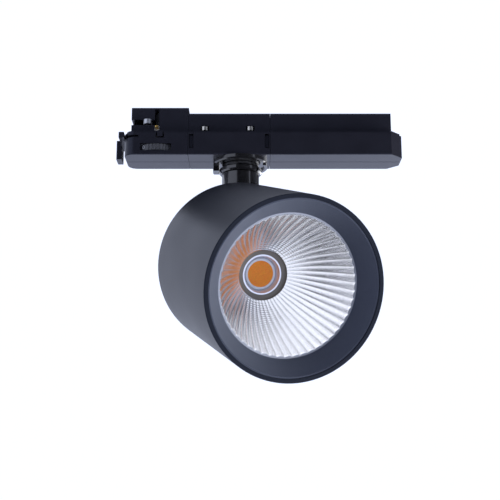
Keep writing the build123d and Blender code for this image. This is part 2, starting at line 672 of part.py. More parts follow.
# ------------------------------------------------------------------ swivel
def swivel_ring():
    """Fixed skirt under the adapter, with the lug that hangs at its left."""
    ring = tube(RING_R, SHAFT_R + RUN, RING_BOTTOM, CASE_BOTTOM)
    ring = chamfer(ring.edges().filter_by(GeomType.CIRCLE).group_by(Axis.Z)[0].sort_by(
        SortBy.RADIUS)[-1], 0.7)
    lug = tube(RING_R + 0.3, RING_R + 0.3 - LUG_THICK, CASE_BOTTOM - LUG_DROP, CASE_BOTTOM)
    lug = lug & block(-RING_R - 1, 0, -LUG_WIDTH / 2, LUG_WIDTH / 2, -40, 0)
    heel = tube(RING_R, RING_R - 1.6, RING_BOTTOM - 1.2, CASE_BOTTOM)
    heel = heel & block(0, RING_R + 1, -5.0, 9.0, -40, 0)
    return ring + lug + heel


def stop_post():
    return rod(STOP_POST_R, FLOOR_TOP, FLOOR_TOP + STOP_POST_HEIGHT, 0, STOP_RADIUS)


def slip_washer():
    top = RING_BOTTOM - FREE
    return tube(SLIP_R, SHAFT_R + SNUG, top - SLIP_THICK, top)


def collar_nut():
    nut = tube(COLLAR_R, SHAFT_R + SNUG, COLLAR_BOTTOM, COLLAR_TOP)
    rims = [e for e in nut.edges().filter_by(GeomType.CIRCLE) if e.radius > COLLAR_R - 0.1]
    nut = chamfer(rims, 0.8)
    for i in range(COLLAR_SLOTS):
        slot = block(COLLAR_R - 0.9, COLLAR_R + 1, -0.7, 0.7, COLLAR_BOTTOM - 1, COLLAR_TOP + 1)
        nut = nut - Rot(0, 0, 360 / COLLAR_SLOTS * i - 117) * slot
    return nut


def neck():
    outline = [(SHAFT_BORE, SHAFT_TOP), (SHAFT_R - 0.6, SHAFT_TOP), (SHAFT_R, SHAFT_TOP - 0.6),
               (SHAFT_R, COLLAR_BOTTOM), (NECK_R - 0.4, COLLAR_BOTTOM),
               (NECK_R, COLLAR_BOTTOM - 0.4), (NECK_R, NECK_BOTTOM + 0.4),
               (NECK_R - 0.4, NECK_BOTTOM), (SHAFT_BORE, NECK_BOTTOM)]
    body = turned(outline)
    for x, y in arm_screw_points():
        body = body - rod(1.25, NECK_BOTTOM - 1, NECK_BOTTOM + 6.5, x, y)
    return body


def arm_screw_points():
    return [(0.0, -7.6), (0.0, 7.6)]


def stop_washer():
    z0 = FLOOR_TOP + FREE
    ring = tube(STOP_RADIUS - 1.3, SHAFT_R + SNUG, z0, z0 + STOP_WASHER_THICK)
    tab = block(STOP_RADIUS - 1.5, STOP_RADIUS + 0.6, -STOP_TAB / 2, STOP_TAB / 2, z0,
                z0 + STOP_WASHER_THICK)
    return ring + Rot(0, 0, STOP_TAB_ANGLE) * tab


def wave_washer():
    z0 = FLOOR_TOP + FREE + STOP_WASHER_THICK
    return tube(STOP_RADIUS - STOP_POST_R - FREE, SHAFT_R + SNUG, z0, z0 + WAVE_THICK)


def top_nut():
    z0 = FLOOR_TOP + FREE + STOP_WASHER_THICK + WAVE_THICK
    hexagon = extrude(RegularPolygon(NUT_R, 6), NUT_THICK)
    return Pos(0, 0, z0) * hexagon - rod(SHAFT_R + SNUG, -30, 0)


def arm():
    """Flat-sided arm from the neck down to the tilt pivot."""
    top = NECK_BOTTOM
    bar = block(-ARM_THICK / 2, ARM_THICK / 2, -ARM_WIDTH / 2, ARM_WIDTH / 2, PIVOT_Z, top)
    bar = fillet(bar.edges().filter_by(Axis.Z), 3.0)
    foot = Pos(0, 0, PIVOT_Z) * Rot(0, 90, 0) * Cylinder(ARM_WIDTH / 2, ARM_THICK)
    bar = bar + foot
    bar = bar - rod(ARM_BORE, PIVOT_Z - 1, top + 1)
    slot = block(-ARM_SLOT / 2, ARM_SLOT / 2, -ARM_WIDTH, 4.5, PIVOT_Z - ARM_WIDTH,
                 PIVOT_Z + 13)
    bar = bar - slot
    bar = bar - Pos(0, 0, PIVOT_Z) * Rot(0, 90, 0) * Cylinder(PIN_R + SNUG, ARM_THICK + 2)
    for x, y in arm_screw_points():
        bar = bar - rod(0.9 + SNUG, top - 40, top + 1, x, y)
    return bar


def arm_screws():
    """Long screws up through the arm into the neck."""
    screws = None
    for x, y in arm_screw_points():
        screw = rod(0.9, NECK_BOTTOM - 10, NECK_BOTTOM + 6, x, y)
        screws = screw if screws is None else screws + screw
    return screws


def tilt_screws():
    """Shoulder screws: thread in the arm's wall, shoulder in the cheek."""
    screws = None
    for side in (-1, 1):
        shank = [side * (ARM_SLOT / 2 + 0.1), side * (CHEEK_OUT + FREE)]
        length = abs(shank[1] - shank[0])
        screw = Pos(sum(shank) / 2, 0, 0) * Rot(0, 90, 0) * Cylinder(PIN_R, length)
        head_mid = side * (CHEEK_OUT + FREE + 0.8)
        head = Pos(head_mid, 0, 0) * Rot(0, 90, 0) * Cylinder(3.4, 1.6)
        socket = Pos(head_mid + side * 0.6, 0, 0) * Rot(0, 90, 0) * extrude(
            RegularPolygon(1.3, 6), 1.0, both=True)
        screw = Pos(0, 0, PIVOT_Z) * (screw + head - socket)
        screws = screw if screws is None else screws + screw
    return screws


def friction_washers():
    washers = None
    for side in (-1, 1):
        middle = side * (ARM_THICK / 2 + RUN / 2 + WASHER_THICK / 2)
        ring = Cylinder(EYE_R - 0.4, WASHER_THICK) - Cylinder(PIN_R + SNUG, WASHER_THICK + 1)
        washer = Pos(middle, 0, PIVOT_Z) * Rot(0, 90, 0) * ring
        washers = washer if washers is None else washers + washer
    return washers


# ------------------------------------------------------------------- leads
def lead(points, radius, radii):
    """Round lead along straight runs joined by arcs."""
    path = FilletPolyline(*points, radius=radii) if radii else Polyline(*points)
    start = Vector(*points[0])
    along = Vector(*points[1]) - start
    section = Plane(origin=start, z_dir=along) * Circle(radius)
    return sweep(section, path)


def feed_cable():
    x_end = SEAM_RIGHT + 4.5
    points = [(x_end, 0, CABLE_RUN_Z), (0, 0, CABLE_RUN_Z), (0, 0, SHAFT_TOP + 0.45)]
    return lead(points, CABLE_R, 5.5)


def stem_cable():
    return rod(CABLE_R, PIVOT_Z + CABLE_R + 0.7, SHAFT_TOP + 0.1)


def lamp_cable():
    """Lead from a bead at the pivot through the bracket to the lamp's holder."""
    exit_y = cable_exit_y()
    z_turn = PIVOT_DEPTH - BRACKET_DEPTH + CABLE_BEND + 1.0
    points = [(0, 0, 0), (0, 0, z_turn), (0, exit_y, z_turn - 0.0001),
              (0, exit_y, PIVOT_DEPTH - SINK_DEPTH + 3.5)]
    run = lead(points, CABLE_R, CABLE_BEND)
    bead = Sphere(CABLE_R + 0.3)
    return run + bead


def cable_exit_y():
    """Height of the lead's hole through the heat sink, in the head's frame."""
    return PIVOT_DROP - (HOLDER_R + CABLE_R + 2.0)


# -------------------------------------------------------------------- head
def boss_points():
    return around(BOSS_RADIUS, (90, 210, 330))


def post_points():
    return around(POST_RADIUS, (30, 150, 270))


def housing():
    shell = deep(HEAD_R, HOUSING_IN, 0, HEAD_LENGTH)
    rims = [e for e in shell.edges().filter_by(GeomType.CIRCLE) if e.radius > HEAD_R - 0.1]
    shell = fillet(rims, 0.5)
    ledge_depth = TRIM_SET_IN + TRIM_DEPTH + 0.4
    shell = shell + deep(HOUSING_IN + 0.5, BOWL_FLANGE_R + 0.4, ledge_depth, ledge_depth + 1.6)
    for x, y in boss_points():
        boss = deep(3.6, 0, SINK_DEPTH - 9, SINK_DEPTH, x, y)
        boss = boss & deep(HOUSING_IN + 0.5, 0, SINK_DEPTH - 9, SINK_DEPTH)
        shell = shell + boss - deep(1.25, 0, SINK_DEPTH - 7, SINK_DEPTH + 1, x, y)
    return on_axis(shell)


def arm_slot():
    """Slot through the rear cover that the arm swings along."""
    low = -PIVOT_DROP - ARM_WIDTH / 2 - 2 * FREE
    slot = block(-SLOT_HALF, SLOT_HALF, low, HEAD_R, -HEAD_LENGTH - 1, -COVER_DEPTH + 1)
    corners = slot.edges().filter_by(Axis.Z).sort_by(Axis.Y)[:2]
    return fillet(corners, 2.5)


def rear_cover():
    cover = deep(HOUSING_IN - SNUG, 0, COVER_DEPTH, COVER_DEPTH + COVER_THICK)
    cover = cover - arm_slot()
    for x, y in post_points():
        cover = cover - deep(1.5 + SNUG, 0, COVER_DEPTH - 1, HEAD_LENGTH, x, y)
    for x in (15.0, 20.5, 26.0):
        half = math.sqrt((POST_RADIUS - 5.5) ** 2 - x * x)
        for side in (-1, 1):
            vent = SlotCenterToCenter(2 * half - VENT_WIDTH, VENT_WIDTH)
            vent = Pos(side * x, 0, -HEAD_LENGTH) * extrude(Rot(0, 0, 90) * vent, 5)
            cover = cover - vent
    return on_axis(cover)


def cover_screws():
    screws = None
    for x, y in post_points():
        depth = COVER_DEPTH + COVER_THICK
        head = deep(2.7, 0, depth, depth + 1.2, x, y)
        head = head - Pos(x, y, -depth - 1.3) * extrude(RegularPolygon(1.2, 6), 0.9)
        screw = head + deep(1.45, 0, COVER_DEPTH - 7, depth, x, y)
        screws = screw if screws is None else screws + screw
    return on_axis(screws)


def trim_slope():
    """Radius and depth that the trim cone covers, and its wall across each."""
    run = HOUSING_IN - SNUG - TRIM_EDGE - BOWL_R - TRIM_OVERHANG
    fall = TRIM_DEPTH - TRIM_SET_IN
    slant = math.hypot(run, fall)
    return run, fall, TRIM_WALL * fall / slant, TRIM_WALL * run / slant


def trim_ring():
    """Cone between the rim and the bowl, with a skirt pressed in the housing."""
    outer = HOUSING_IN - SNUG
    front_r, front = outer - TRIM_EDGE, TRIM_SET_IN
    back_r, back = BOWL_R + TRIM_OVERHANG, TRIM_DEPTH
    run, fall, off_r, off_d = trim_slope()
    skirt_in = outer - TRIM_WALL
    share = (skirt_in - back_r - off_r) / run
    skirt_d = back + off_d - share * fall
    foot = TRIM_SET_IN + TRIM_DEPTH + 0.4
    outline = [(front_r, -front), (back_r, -back), (back_r, -back - off_d),
               (back_r + off_r, -back - off_d), (skirt_in, -skirt_d), (skirt_in, -foot),
               (outer, -foot), (outer, -front)]
    return on_axis(turned(outline))


def bowl_curve(extra):
    """Parabola from the bowl's mouth to its small end, as radius and depth."""
    mouth = bowl_mouth_depth()
    pull = (BOWL_R ** 2 - BOWL_END_R ** 2) / (BOWL_END_DEPTH - mouth)
    vertex = BOWL_END_DEPTH + BOWL_END_R ** 2 / pull
    control = (BOWL_R + BOWL_END_R) / 2
    control_depth = vertex - BOWL_R * BOWL_END_R / pull
    return ((BOWL_R + extra, 0, -mouth), (control + extra, 0, -control_depth),
            (BOWL_END_R + extra, 0, -BOWL_END_DEPTH))


def bowl_mouth_depth():
    return TRIM_DEPTH + trim_slope()[3] + SNUG


def reflector():
    inner = bowl_curve(0)
    outer = bowl_curve(BOWL_WALL)
    mouth = bowl_mouth_depth()
    flange = 1.0
    root = BOWL_R + BOWL_WALL / 4
    step = [(root, 0, -mouth), (BOWL_FLANGE_R, 0, -mouth),
            (BOWL_FLANGE_R, 0, -mouth - flange), (root, 0, -mouth - flange)]
    wall = make_face([Bezier(*inner), Line(inner[2], outer[2]), Bezier(*reversed(outer)),
                      Line(outer[0], inner[0])])
    brim = make_face(Polyline(*step, close=True))
    return on_axis(revolve(wall, Axis.Z) + revolve(brim, Axis.Z))


def led_holder():
    """Moulded ring that clamps the light source and centres the bowl."""
    back = SINK_DEPTH
    body = deep(HOLDER_R, CONE_R + 0.8 + SNUG, HOLDER_DEPTH, back)
    body = body - deep(BOWL_END_R + 0.1, 0, HOLDER_DEPTH - 1, HOLDER_DEPTH + 1.0)
    side = BOARD_SIDE / 2 + 0.2
    body = body - block(-side, side, -side, side, -back - 1, -BOARD_DEPTH + 0.05)
    for x, y in holder_points():
        body = body - deep(1.6, 0, HOLDER_DEPTH - 1, back + 1, x, y)
        body = body - deep(3.0, 0, HOLDER_DEPTH - 1, HOLDER_DEPTH + 2.2, x, y)
    return on_axis(body)


def holder_points():
    return around(HOLDER_R - 3.8, (0, 180))


def holder_screws():
    screws = None
    for x, y in holder_points():
        head = deep(2.7, 0, HOLDER_DEPTH + 0.6, HOLDER_DEPTH + 2.2, x, y)
        head = head - Pos(x, y, -HOLDER_DEPTH - 1.5) * extrude(RegularPolygon(1.2, 6), 2)
        screw = head + deep(1.4, 0, HOLDER_DEPTH + 2.0, SINK_DEPTH + 3.5, x, y)
        screws = screw if screws is None else screws + screw
    return on_axis(screws)


def light_cone():
    """Bright bevelled ring round the light source."""
    front = HOLDER_DEPTH + 1.2
    back = BOARD_DEPTH - 0.05
    outline = [(CONE_R, -front), (CONE_R + 0.8, -front), (CONE_R + 0.8, -back),
               (CONE_END_R, -back), (CONE_END_R, -back + 0.3)]
    return on_axis(turned(outline))


def led_board():
    side = BOARD_SIDE / 2
    board = block(-side, side, -side, side, -PAD_DEPTH, -BOARD_DEPTH)
    dam = deep(PHOSPHOR_R + 1.0, PHOSPHOR_R, PHOSPHOR_DEPTH - 0.1, BOARD_DEPTH + 0.1)
    return on_axis(board + dam)


def led_phosphor():
    disc = deep(PHOSPHOR_R - 0.01, 0, PHOSPHOR_DEPTH, BOARD_DEPTH - 0.01)
    return on_axis(disc)


def thermal_pad():
    side = BOARD_SIDE / 2 - 0.3
    return on_axis(block(-side, side, -side, side, -SINK_DEPTH, -PAD_DEPTH))


def heat_sink():
    """Base disc with plate fins; the middle fins stop at the bracket."""
    base = deep(HOUSING_IN - SNUG, 0, SINK_DEPTH, SINK_BACK)
    sink = base
    for i in range(FIN_COUNT):
        x = (i - (FIN_COUNT - 1) / 2) * FIN_PITCH
        end = FIN_END_DEPTH if abs(x) > BRACKET_HALF_X + FIN_THICK else BRACKET_DEPTH
        fin = block(x - FIN_THICK / 2, x + FIN_THICK / 2, -FIN_R, FIN_R, -end, -SINK_BACK + 0.5)
        sink = sink + (fin & deep(FIN_R, 0, SINK_DEPTH, end))
    for x, y in post_points():
        sink = sink + deep(3.4, 0, SINK_BACK - 0.5, COVER_DEPTH, x, y)
        sink = sink - deep(1.5, 0, COVER_DEPTH - 8, COVER_DEPTH + 1, x, y)
    for x, y in bracket_points():
        sink = sink + deep(2.6, 0, SINK_BACK - 0.5, BRACKET_DEPTH, x, y - PIVOT_DROP)
        sink = sink - deep(1.3, 0, BRACKET_DEPTH - 7, BRACKET_DEPTH + 1, x, y - PIVOT_DROP)
    for x, y in boss_points():
        sink = sink - deep(3.6, 0, SINK_BACK, FIN_END_DEPTH + 1, x, y)
        sink = sink - deep(1.5, 0, SINK_DEPTH - 1, SINK_BACK + 1, x, y)
    for x, y in holder_points():
        sink = sink - deep(1.45, 0, SINK_DEPTH - 1, SINK_DEPTH + 3.6, x, y)
    exit_y = cable_exit_y() - PIVOT_DROP
    channel = block(-3.2, 3.2, exit_y - 3.2, -PIVOT_DROP + 3.2, -BRACKET_DEPTH - 1, -SINK_BACK)
    hole = deep(CABLE_R + 1.0, 0, SINK_DEPTH - 1, SINK_BACK + 1, 0, exit_y)
    return on_axis(sink - channel - hole)


def sink_screws():
    screws = None
    for x, y in boss_points():
        head = deep(2.7, 0, SINK_BACK, SINK_BACK + 1.6, x, y)
        head = head - Pos(x, y, -SINK_BACK - 1.7) * extrude(RegularPolygon(1.2, 6), 0.9)
        screw = head + deep(1.2, 0, SINK_DEPTH - 6, SINK_BACK, x, y)
        screws = screw if screws is None else screws + screw
    return on_axis(screws)


def bracket_points():
    """Bracket screws, in the head's frame, about the pivot's height."""
    return [(sx * (BRACKET_HALF_X - 2.0), sy * (BRACKET_HALF_Y - 2.8)) for sx in (-1, 1)
            for sy in (-1, 1)]


def tilt_bracket():
    """Clevis on the heat sink whose cheeks carry the tilt pivot."""
    near = PIVOT_DEPTH - BRACKET_DEPTH
    far = near - BRACKET_BASE
    base = block(-BRACKET_HALF_X, BRACKET_HALF_X, -BRACKET_HALF_Y, BRACKET_HALF_Y, far, near)
    base = fillet(base.edges().filter_by(Axis.Z), 2.0)
    bracket = base
    for side in (-1, 1):
        x0, x1 = sorted((side * CHEEK_IN, side * CHEEK_OUT))
        cheek = block(x0, x1, -EYE_R, EYE_R, 0, near - 0.5)
        eye = Pos((x0 + x1) / 2, 0, 0) * Rot(0, 90, 0) * Cylinder(EYE_R, CHEEK_THICK)
        hole = Pos((x0 + x1) / 2, 0, 0) * Rot(0, 90, 0) * Cylinder(PIN_R + RUN, CHEEK_THICK + 2)
        bracket = bracket + cheek + eye - hole
    for x, y in bracket_points():
        bracket = bracket - rod(1.55, far - 1, near + 1, x, y)
    return bracket - rod(grommet_r() + SNUG, far - 1, near + 1)


def grommet_r():
    return CABLE_R + 1.2


def cable_grommet():
    near = PIVOT_DEPTH - BRACKET_DEPTH
    far = near - BRACKET_BASE
    ring = tube(grommet_r(), CABLE_R + SNUG, far, near)
    lip = tube(grommet_r() + 0.8, CABLE_R + SNUG, far - 0.8, far)
    return ring + lip


def bracket_screws():
    near = PIVOT_DEPTH - BRACKET_DEPTH
    far = near - BRACKET_BASE
    screws = None
    for x, y in bracket_points():
        head = rod(1.9, far - 0.9, far, x, y)
        screw = head + rod(1.25, far, near + 5, x, y)
        screws = screw if screws is None else screws + screw
    return screws


def print_travels():
    """How far each moving piece goes, counted from the pose at rest."""
    print("pan", -PAN_TRAVEL / 2 - YAW, "to", PAN_TRAVEL / 2 - YAW, "degrees")
    print("tilt 0 to", TILT_DOWN - TILT, "degrees")
    print("phase wheel", DIAL_RANGE, "degrees, lifts its slider", SLIDER_LIFT, "mm")
    print("lock lever", LOCK_TRAVEL, "mm")


def build():
    os.makedirs("parts", exist_ok=True)
    fixed = (head_shell, contact_tower, neutral_contacts, carrier_shell, carrier_tower,
             earth_contacts, driver_shell, driver_tower, lid_screws, driver_board,
             terminal_block, transformer, capacitors, phase_dial, phase_slider, phase_blade,
             lock_slide, lock_cam, lock_detent, swivel_ring, stop_post, feed_cable)
    turning = (slip_washer, collar_nut, neck, stop_washer, wave_washer, top_nut, arm,
               arm_screws, tilt_screws, friction_washers, stem_cable)
    tilting = (housing, rear_cover, cover_screws, trim_ring, reflector, led_holder,
               holder_screws, light_cone, led_board, led_phosphor, thermal_pad, heat_sink,
               sink_screws, tilt_bracket, bracket_screws, cable_grommet, lamp_cable)
    for make in fixed:
        save(make.__name__, make())
    for make in turning:
        save(make.__name__, swung(make()))
    for make in tilting:
        save(make.__name__, hung(make()))
    print_travels()


build()
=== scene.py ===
# %% [markdown]
# # Track spotlight: finishes, the fluted reflector and the studio
#
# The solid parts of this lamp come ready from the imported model. Each one stays
# where it is and gets the finish that the real piece has. Two things are made
# here, because they live from fine shape: the bright reflector with its flutes
# and steps, and the figures on the phase wheel.

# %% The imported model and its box
import json
import math

import bmesh
import bpy
from mathutils import Matrix, Vector


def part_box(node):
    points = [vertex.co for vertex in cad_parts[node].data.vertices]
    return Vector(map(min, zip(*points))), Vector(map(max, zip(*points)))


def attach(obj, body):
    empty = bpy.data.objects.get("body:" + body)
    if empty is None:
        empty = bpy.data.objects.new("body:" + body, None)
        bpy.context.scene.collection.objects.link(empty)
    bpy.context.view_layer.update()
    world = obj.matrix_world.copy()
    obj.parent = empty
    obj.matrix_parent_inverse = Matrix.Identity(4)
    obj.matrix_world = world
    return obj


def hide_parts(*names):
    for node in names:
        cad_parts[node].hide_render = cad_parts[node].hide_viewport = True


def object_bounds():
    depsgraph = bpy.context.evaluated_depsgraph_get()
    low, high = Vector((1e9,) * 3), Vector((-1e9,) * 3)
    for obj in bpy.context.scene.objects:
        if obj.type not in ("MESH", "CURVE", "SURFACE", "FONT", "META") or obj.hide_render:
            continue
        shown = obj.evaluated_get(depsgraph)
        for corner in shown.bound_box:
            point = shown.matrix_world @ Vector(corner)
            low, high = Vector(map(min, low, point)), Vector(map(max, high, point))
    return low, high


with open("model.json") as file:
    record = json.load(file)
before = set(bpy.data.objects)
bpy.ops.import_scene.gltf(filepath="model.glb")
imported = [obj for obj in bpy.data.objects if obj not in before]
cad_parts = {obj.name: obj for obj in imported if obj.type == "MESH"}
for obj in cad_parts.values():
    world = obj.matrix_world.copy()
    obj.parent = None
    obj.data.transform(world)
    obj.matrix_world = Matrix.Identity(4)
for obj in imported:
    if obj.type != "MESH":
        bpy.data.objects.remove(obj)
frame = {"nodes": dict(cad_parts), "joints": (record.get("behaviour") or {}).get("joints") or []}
cad_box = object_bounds()
nodes = frame["nodes"]
MM = 0.001
print(len(nodes), "pieces, box", cad_box)

# %% [markdown]
# ## Camera
#
# The lamp hangs above the eye, so the camera stands low in front of it and
# looks up a little. A long lens keeps the track adapter straight and calm. The
# camera comes first, because every finish is judged through it.

# %% Camera
CAMERA_PLACE = (5.33 * MM, -537.2 * MM, -193.9 * MM)
CAMERA_PITCH = 13.52
CAMERA_LENS = 72.54
camera_data = bpy.data.cameras.new("camera")
camera_data.lens = CAMERA_LENS
camera_data.sensor_width = 36
camera_data.clip_start = 0.01
camera = bpy.data.objects.new("camera", camera_data)
camera.location = CAMERA_PLACE
camera.rotation_euler = (math.radians(90 + CAMERA_PITCH), 0, 0)
bpy.context.scene.collection.objects.link(camera)
bpy.context.scene.camera = camera
print("camera at", tuple(round(v, 3) for v in CAMERA_PLACE))

# %% [markdown]
# ## The head's own frame
#
# The head hangs turned and tilted, and everything in it is round about its own
# axis. It is far easier to model a bowl upright on the world's origin and then
# to move its points to the head. The tilt joint gives the pivot's direction,
# the light source's disc gives a point on the axis, and the tilt at rest gives
# the rest.

# %% Upright head frame and its place in the lamp
TILT = math.radians(19.5)
tilt_joint = next(j for j in frame["joints"] if j["name"] == "tilt")
across = Vector(tilt_joint["axis"]).normalized()
level = across.cross(Vector((0, 0, 1)))
mouth_way = level * math.cos(TILT) - Vector((0, 0, 1)) * math.sin(TILT)
up_way = mouth_way.cross(across)
low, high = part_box("led_phosphor")
source_centre = (low + high) / 2
head_turn = Matrix((across, up_way, mouth_way)).transposed()
print("the mouth points along", tuple(round(v, 3) for v in mouth_way))


def head_place(forward):
    """Matrix from an upright piece to the head, forward of the light source."""
    centre = source_centre + mouth_way * forward
    return Matrix.Translation(centre) @ head_turn.to_4x4()


# %% [markdown]
# ## Small helpers for modelling
#
# Every operator works on what is selected, so each piece starts with nothing
# selected. A finished piece gets its place in its points, with its object on
# the origin, and then rides on a body of the lamp.

# %% Helpers for modelling
def clear_selection():
    bpy.ops.object.select_all(action="DESELECT")


def start_editing(piece):
    clear_selection()
    piece.select_set(True)
    bpy.context.view_layer.objects.active = piece
    bpy.ops.object.mode_set(mode="EDIT")


def stop_editing():
    bpy.ops.object.mode_set(mode="OBJECT")


def select_edges(piece, wanted):
    """Selects the edges for which wanted(edge) is true, in edit mode."""
    mesh = bmesh.from_edit_mesh(piece.data)
    for part in (*mesh.faces, *mesh.edges, *mesh.verts):
        part.select = False
    for edge in mesh.edges:
        if wanted(edge):
            edge.select = True
    bmesh.update_edit_mesh(piece.data)


def select_points(piece, wanted):
    """Selects the points for which wanted(point) is true, in edit mode."""
    bpy.ops.mesh.select_mode(type="VERT")
    mesh = bmesh.from_edit_mesh(piece.data)
    for part in (*mesh.faces, *mesh.edges, *mesh.verts):
        part.select = False
    for point in mesh.verts:
        if wanted(point):
            point.select = True
    bmesh.update_edit_mesh(piece.data)


def settle(piece, place, body):
    """Puts the place into the mesh, and lets the piece ride on a body."""
    piece.data.transform(place)
    piece.data.update()
    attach(piece, body)
    print(piece.name, len(piece.data.polygons), "faces, rides on", body)


# %% [markdown]
# ## Colours and material nodes
#
# Colours are written as they look on a screen, in sRGB hex. Blender wants them
# linear, so one function turns them. A second one adds any node with its
# settings and links, so that a material reads as a short list.

# %% Helpers for materials
def linear(code):
    """A hex colour as linear red, green, blue and alpha."""
    shown = [int(code[i:i + 2], 16) / 255 for i in (0, 2, 4)]
    return [v / 12.92 if v <= 0.04045 else ((v + 0.055) / 1.055) ** 2.4 for v in shown] + [1]


def shade(code, factor):
    """A hex colour made darker or paler by a factor, as linear values."""
    return [min(1, v * factor) for v in linear(code)[:3]] + [1]


def add(tree, kind, inputs=None, **settings):
    """Adds a node. A value in inputs is set, and a socket is linked."""
    made = tree.nodes.new(kind)
    for name, value in settings.items():
        setattr(made, name, value)
    for name, value in (inputs or {}).items():
        socket = made.inputs[name]
        if isinstance(value, bpy.types.NodeSocket):
            tree.links.new(value, socket)
        else:
            socket.default_value = value
    return made


def new_material(name):
    """An empty material, its tree, and its object coordinates in metres."""
    material = bpy.data.materials.new(name)
    material.use_nodes = True
    tree = material.node_tree
    tree.nodes.clear()
    place = add(tree, "ShaderNodeTexCoord").outputs["Object"]
    return material, tree, place


def finish_material(tree, shader):
    add(tree, "ShaderNodeOutputMaterial", {"Surface": shader.outputs["BSDF"]})


def per_metre(size_mm):
    """Texture scale whose features are about that many millimetres wide."""
    return 1 / (size_mm * MM)


def ramp(tree, value, stops):
    """Colour ramp from (position, hex or grey) stops."""
    made = add(tree, "ShaderNodeValToRGB", {"Fac": value})
    band = made.color_ramp
    while len(band.elements) < len(stops):
        band.elements.new(0.5)
    for element, (position, colour) in zip(band.elements, stops):
        element.position = position
        element.color = linear(colour) if isinstance(colour, str) else (colour,) * 3 + (1,)
    return made.outputs["Color"]


def wear_paint(nodes_named, material):
    """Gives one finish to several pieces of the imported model."""
    for name in nodes_named:
        piece = nodes[name]
        piece.data.materials.clear()
        piece.data.materials.append(material)
    print(material.name, "on", ", ".join(nodes_named))


# %% [markdown]
# ## Powder coat on the head
#
# The head is cast aluminium under a fine-textured polyester powder coat. Cured
# powder leaves tiny round grains, so the sheen is broad and soft, with no sharp
# reflection, and the dark grey looks slightly blue. The glint is the colour of
# light that bounces off the skin face on. The real grain is about 0.15 mm, and
# 0.35 mm is drawn so that it shows.

# %% Fine-textured powder coat
CLOUD_MM = 30           # drifts in the sheen, where the powder lay thicker


def powder_coat(name, dark, light, grain_mm, roughness, depth_mm, glint="ffffff", ior=1.5):
    material, tree, place = new_material(name)
    grain = add(tree, "ShaderNodeTexNoise", {"Vector": place, "Scale": per_metre(grain_mm),
                                             "Detail": 3.0, "Roughness": 0.6})
    cloud = add(tree, "ShaderNodeTexNoise", {"Vector": place, "Scale": per_metre(CLOUD_MM),
                                             "Detail": 2.0})
    colour = ramp(tree, grain.outputs["Fac"], [(0.35, dark), (0.7, light)])
    rough = add(tree, "ShaderNodeMapRange", {"Value": cloud.outputs["Fac"],
                                             "To Min": roughness - 0.04,
                                             "To Max": roughness + 0.04})
    bump = add(tree, "ShaderNodeBump", {"Height": grain.outputs["Fac"], "Strength": 0.35,
                                        "Distance": depth_mm * MM})
    shader = add(tree, "ShaderNodeBsdfPrincipled", {
        "Base Color": colour, "Roughness": rough.outputs["Result"], "IOR": ior,
        "Specular Tint": linear(glint), "Normal": bump.outputs["Normal"]})
    finish_material(tree, shader)
    return material


head_coat = powder_coat("powder_coat_polyester", "0c0e12", "15171d", 0.35, 0.42, 0.06,
                        glint="98a2c0", ior=1.4)
wear_paint(["housing", "rear_cover", "arm"], head_coat)

# %% [markdown]
# ## Moulded polycarbonate
#
# The adapter's casings are injection moulded black polycarbonate. Their mould
# was spark eroded, which leaves an even, very fine satin grain. Seen at a low
# angle the grain still reflects a pale room, and face on it is nearly black.
# The same material with other grains serves for the lever, the wheel, the
# wiper's carriage and the lamp's holder.

# %% Spark-eroded moulded plastic
FLOW_MM = 12            # streaks left by the flow into the mould


def moulded_plastic(name, colour, grain_mm, roughness, depth_mm=0.02, ior=1.55,
                    glint="ffffff"):
    material, tree, place = new_material(name)
    grain = add(tree, "ShaderNodeTexNoise", {"Vector": place, "Scale": per_metre(grain_mm),
                                             "Detail": 2.0})
    flow = add(tree, "ShaderNodeTexNoise", {"Vector": place, "Scale": per_metre(FLOW_MM),
                                            "Detail": 3.0})
    tint = add(tree, "ShaderNodeMixRGB", {"Fac": flow.outputs["Fac"],
                                          "Color1": shade(colour, 0.88),
                                          "Color2": shade(colour, 1.12)})
    rough = add(tree, "ShaderNodeMapRange", {"Value": flow.outputs["Fac"],
                                             "To Min": roughness - 0.05,
                                             "To Max": roughness + 0.05})
    bump = add(tree, "ShaderNodeBump", {"Height": grain.outputs["Fac"], "Strength": 0.25,
                                        "Distance": depth_mm * MM})
    shader = add(tree, "ShaderNodeBsdfPrincipled", {
        "Base Color": tint.outputs["Color"], "Roughness": rough.outputs["Result"], "IOR": ior,
        "Specular Tint": linear(glint), "Normal": bump.outputs["Normal"]})
    finish_material(tree, shader)
    return material


casing_plastic = moulded_plastic("polycarbonate_spark_eroded", "15151b", 0.25, 0.3,
                                 glint="9ca2b8")
wear_paint(["head_shell", "carrier_shell", "driver_shell", "contact_tower", "carrier_tower",
            "driver_tower", "lock_slide"], casing_plastic)
wheel_plastic = moulded_plastic("polyamide_glass_filled", "2e2f34", 0.3, 0.4)
wear_paint(["phase_dial"], wheel_plastic)
wiper_plastic = moulded_plastic("polyamide_natural", "cfcdc4", 0.5, 0.38)
wear_paint(["phase_slider"], wiper_plastic)
holder_plastic = moulded_plastic("polybutylene_moulded", "645d55", 0.4, 0.3)
wear_paint(["led_holder", "terminal_block"], holder_plastic)

# %% [markdown]
# ## Lacquered swivel
#
# The swivel's ring, nut and neck are the only glossy parts outside: turned
# metal under black lacquer. They show narrow bright streaks with hard edges,
# which a low roughness and a clear coat give.

# %% Black gloss lacquer
RIPPLE_MM = 3           # waves of lacquer that ran a little before it set


